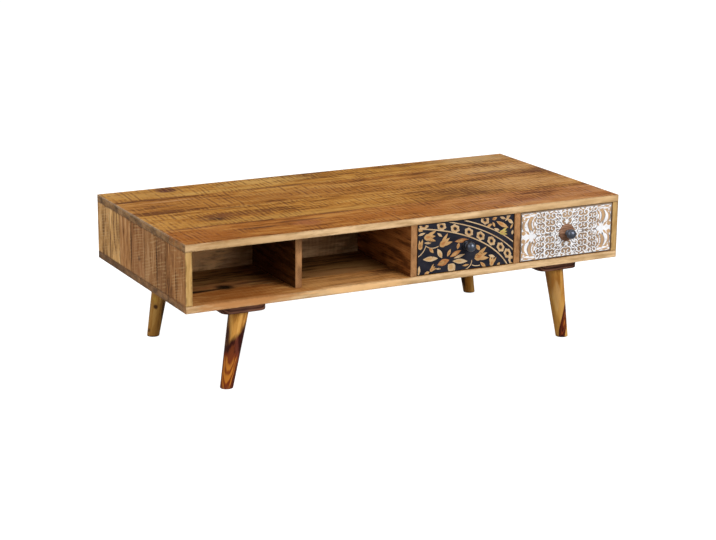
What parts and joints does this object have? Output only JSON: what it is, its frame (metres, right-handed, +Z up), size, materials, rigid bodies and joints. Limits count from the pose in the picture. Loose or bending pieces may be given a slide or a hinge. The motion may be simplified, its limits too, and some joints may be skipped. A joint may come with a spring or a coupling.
{
  "type": "coffee table with drawers",
  "caption": "Low two-sided coffee table of oiled planks with open bays and inset printed drawers with ball knobs, on splayed tapered round legs.",
  "frame": {"origin": "on the floor, below the middle of the table", "axes": "+X along the table's length, +Z up, and the front side with its drawers on the right faces -Y"},
  "size_m": [1.15, 0.6162, 0.36],
  "materials": {
    "top_mango": "rough sawn, oiled",
    "case_mango": "planed, oiled",
    "end_mango": "rough sawn, oiled",
    "inside_mango": "planed, oiled",
    "leg_rosewood": "turned, satin",
    "plate_rosewood": "satin",
    "dark_print": "painted and printed",
    "white_print": "printed",
    "drawer_wood": "planed",
    "drawer_ply": "sanded plywood",
    "rosette_wood": "turned, polished",
    "knob_iron": "dark polished",
    "beech": "plain",
    "steel": "zinc plated"
  },
  "bodies": {
    "case": {"top_board_front": "top_mango", "top_board_mid_front": "top_mango", "top_board_mid_rear": "top_mango", "top_board_rear": "top_mango", "bottom_boards": "case_mango", "left_end_boards": "end_mango", "right_end_boards": "end_mango", "centre_partition": "inside_mango", "front_left_divider": "inside_mango", "front_centre_divider": "inside_mango", "front_right_divider": "inside_mango", "rear_left_divider": "inside_mango", "rear_centre_divider": "inside_mango", "rear_right_divider": "inside_mango", "case_dowels": "beech", "front_left_leg": "leg_rosewood", "front_left_leg_plate": "plate_rosewood", "front_right_leg": "leg_rosewood", "front_right_leg_plate": "plate_rosewood", "rear_left_leg": "leg_rosewood", "rear_left_leg_plate": "plate_rosewood", "rear_right_leg": "leg_rosewood", "rear_right_leg_plate": "plate_rosewood", "leg_plate_screws": "steel", "leg_inserts": "steel", "leg_hanger_bolts": "steel", "drawer_stops": "beech"},
    "front_inner_drawer": {"front_inner_drawer_face": "dark_print", "front_inner_drawer_left_side": "drawer_wood", "front_inner_drawer_right_side": "drawer_wood", "front_inner_drawer_back": "drawer_wood", "front_inner_drawer_bottom": "drawer_ply", "front_inner_drawer_rosette": "knob_iron", "front_inner_drawer_knob": "knob_iron", "front_inner_drawer_bolt": "steel"},
    "front_outer_drawer": {"front_outer_drawer_face": "white_print", "front_outer_drawer_left_side": "drawer_wood", "front_outer_drawer_right_side": "drawer_wood", "front_outer_drawer_back": "drawer_wood", "front_outer_drawer_bottom": "drawer_ply", "front_outer_drawer_rosette": "rosette_wood", "front_outer_drawer_knob": "knob_iron", "front_outer_drawer_bolt": "steel"},
    "rear_inner_drawer": {"rear_inner_drawer_face": "dark_print", "rear_inner_drawer_left_side": "drawer_wood", "rear_inner_drawer_right_side": "drawer_wood", "rear_inner_drawer_back": "drawer_wood", "rear_inner_drawer_bottom": "drawer_ply", "rear_inner_drawer_rosette": "knob_iron", "rear_inner_drawer_knob": "knob_iron", "rear_inner_drawer_bolt": "steel"},
    "rear_outer_drawer": {"rear_outer_drawer_face": "white_print", "rear_outer_drawer_left_side": "drawer_wood", "rear_outer_drawer_right_side": "drawer_wood", "rear_outer_drawer_back": "drawer_wood", "rear_outer_drawer_bottom": "drawer_ply", "rear_outer_drawer_rosette": "rosette_wood", "rear_outer_drawer_knob": "knob_iron", "rear_outer_drawer_bolt": "steel"}
  },
  "joints": [
    {"name": "front_inner_drawer_slide", "type": "slide", "parent": "case", "child": "front_inner_drawer", "axis": [0, -1, 0], "range_m": [0, 0.175]},
    {"name": "front_outer_drawer_slide", "type": "slide", "parent": "case", "child": "front_outer_drawer", "axis": [0, -1, 0], "range_m": [0, 0.175]},
    {"name": "rear_inner_drawer_slide", "type": "slide", "parent": "case", "child": "rear_inner_drawer", "axis": [0, 1, 0], "range_m": [0, 0.175]},
    {"name": "rear_outer_drawer_slide", "type": "slide", "parent": "case", "child": "rear_outer_drawer", "axis": [0, 1, 0], "range_m": [0, 0.175]}
  ]
}
